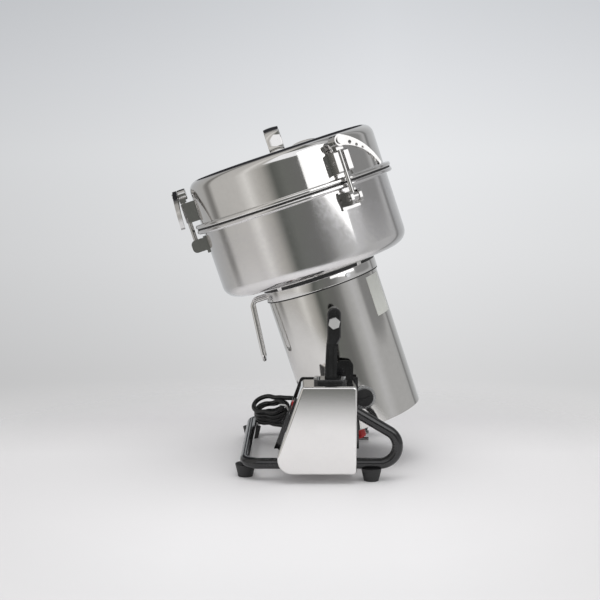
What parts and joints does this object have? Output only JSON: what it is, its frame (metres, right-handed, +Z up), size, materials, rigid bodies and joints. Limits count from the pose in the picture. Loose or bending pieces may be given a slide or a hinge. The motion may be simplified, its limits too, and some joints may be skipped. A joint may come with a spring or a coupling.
{
  "type": "grain grinder",
  "caption": "Swing grain grinder: a polished steel bowl with a clamped lid on a motor that tilts between two posts on a black tube stand.",
  "frame": {"origin": "on the floor under the middle of the whole, leaving out the mains cord", "axes": "+Z up, +X along the stand from the pouring front to the rear loops, +Y from the near side box to the far one"},
  "size_m": [0.3334, 0.3066, 0.4484],
  "materials": {
    "polished_steel": "mirror polished",
    "brushed_casing": "fine brushed",
    "plain_steel": "satin",
    "black_paint": "gloss",
    "cast_post": "gloss over a casting",
    "black_plastic": "satin",
    "red_plastic": "gloss",
    "white_tie": "satin",
    "label_film": "satin",
    "black_rubber": "matt",
    "seal_rubber": "matt",
    "copper_wire": "enamelled",
    "core_steel": "plain",
    "cast_alloy": "as cast",
    "carbon": "matt",
    "brass_pins": "polished"
  },
  "bodies": {
    "stand": {"stand_tube": "black_paint", "side_plate_near": "black_paint", "side_plate_far": "black_paint", "side_cover_near": "polished_steel", "side_cover_far": "polished_steel", "pivot_post_near": "cast_post", "pivot_post_far": "cast_post", "post_screws": "plain_steel", "pivot_bushes": "black_rubber", "rubber_feet": "black_rubber", "foot_screws": "plain_steel", "switch_body": "black_plastic", "cord_gland": "black_rubber", "cord_lead": "black_rubber", "cord_hank": "black_rubber", "cord_tie": "white_tie", "plug_body": "black_plastic", "plug_pins": "brass_pins"},
    "rocker": {"switch_rocker": "red_plastic"},
    "grinder": {"motor_casing": "brushed_casing", "motor_top_plate": "polished_steel", "band_screws": "plain_steel", "motor_base": "black_plastic", "shaft_bearings": "plain_steel", "bearing_bracket": "cast_alloy", "stator_core": "core_steel", "field_coils": "copper_wire", "brush_holders": "plain_steel", "carbon_brushes": "carbon", "brush_caps": "black_plastic", "trunnion_bosses": "polished_steel", "pivot_bolts": "plain_steel", "tilt_bail": "polished_steel", "blank_label": "label_film", "bowl_gasket": "black_rubber", "grinding_bowl": "polished_steel", "bowl_screws": "plain_steel", "shaft_seal": "black_rubber", "latch_clevises": "polished_steel", "clevis_pins": "polished_steel"},
    "rotor": {"motor_shaft": "plain_steel", "armature_core": "core_steel", "armature_coils": "copper_wire", "commutator": "copper_wire", "cooling_fan": "black_plastic", "lower_blade": "plain_steel", "upper_blade": "plain_steel", "blade_spacer": "plain_steel", "blade_nut": "plain_steel"},
    "lid": {"lid_shell": "polished_steel", "lid_gasket": "seal_rubber", "lid_handle": "polished_steel", "latch_forks": "polished_steel"},
    "reset": {"reset_button": "red_plastic"},
    "bolt_1": {"latch_bolt_1": "polished_steel"},
    "lever_1": {"latch_lever_1": "polished_steel"},
    "bolt_2": {"latch_bolt_2": "polished_steel"},
    "lever_2": {"latch_lever_2": "polished_steel"},
    "bolt_3": {"latch_bolt_3": "polished_steel"},
    "lever_3": {"latch_lever_3": "polished_steel"}
  },
  "joints": [
    {"name": "tilt", "type": "hinge", "parent": "stand", "child": "grinder", "pos_m": [0.04668, -0.00848, 0.2], "axis": [0, -1, 0], "range_deg": [-18.5, 71.5]},
    {"name": "rotor_spin", "type": "hinge", "parent": "grinder", "child": "rotor", "pos_m": [0.04668, -0.00848, 0.2], "axis": [-0.3173, 0, 0.9483], "continuous": true},
    {"name": "lid_lift", "type": "slide", "parent": "grinder", "child": "lid", "axis": [-0.3173, 0, 0.9483], "range_m": [0, 0.03]},
    {"name": "bolt_swing_1", "type": "hinge", "parent": "grinder", "child": "bolt_1", "pos_m": [-0.1324, -0.00972, 0.28771], "axis": [0.0083, -1, 0.0028], "range_deg": [0, 150]},
    {"name": "lever_turn_1", "type": "hinge", "parent": "bolt_1", "child": "lever_1", "pos_m": [-0.15487, -0.00972, 0.35485], "axis": [-0.9483, -0.0087, -0.3173], "range_deg": [0, 120]},
    {"name": "bolt_swing_2", "type": "hinge", "parent": "grinder", "child": "bolt_2", "pos_m": [0.0706, -0.13083, 0.35563], "axis": [0.8171, 0.5075, 0.2734], "range_deg": [0, 150]},
    {"name": "lever_turn_2", "type": "hinge", "parent": "bolt_2", "child": "lever_2", "pos_m": [0.04814, -0.13083, 0.42278], "axis": [0.4813, -0.8616, 0.161], "range_deg": [0, 120]},
    {"name": "bolt_swing_3", "type": "hinge", "parent": "grinder", "child": "bolt_3", "pos_m": [0.06857, 0.11511, 0.35495], "axis": [-0.8254, 0.4924, -0.2762], "range_deg": [0, 150]},
    {"name": "lever_turn_3", "type": "hinge", "parent": "bolt_3", "child": "lever_3", "pos_m": [0.0461, 0.11511, 0.42209], "axis": [0.467, 0.8704, 0.1562], "range_deg": [-58, 62]},
    {"name": "rocker_tip", "type": "hinge", "parent": "stand", "child": "rocker", "pos_m": [-0.00313, -0.12348, 0.09167], "axis": [0, 1, 0], "range_deg": [0, 20]},
    {"name": "reset_press", "type": "slide", "parent": "grinder", "child": "reset", "axis": [-0.3173, 0, 0.9483], "range_m": [0, 0.003], "stiffness_N_per_m": 400, "springref_m": -0.002}
  ],
  "couplings": [
    {"joint": "bolt_swing_1", "follows": "lid_lift", "rad_per_m": 87.2},
    {"joint": "bolt_swing_2", "follows": "lid_lift", "rad_per_m": 87.2},
    {"joint": "bolt_swing_3", "follows": "lid_lift", "rad_per_m": 87.2}
  ]
}
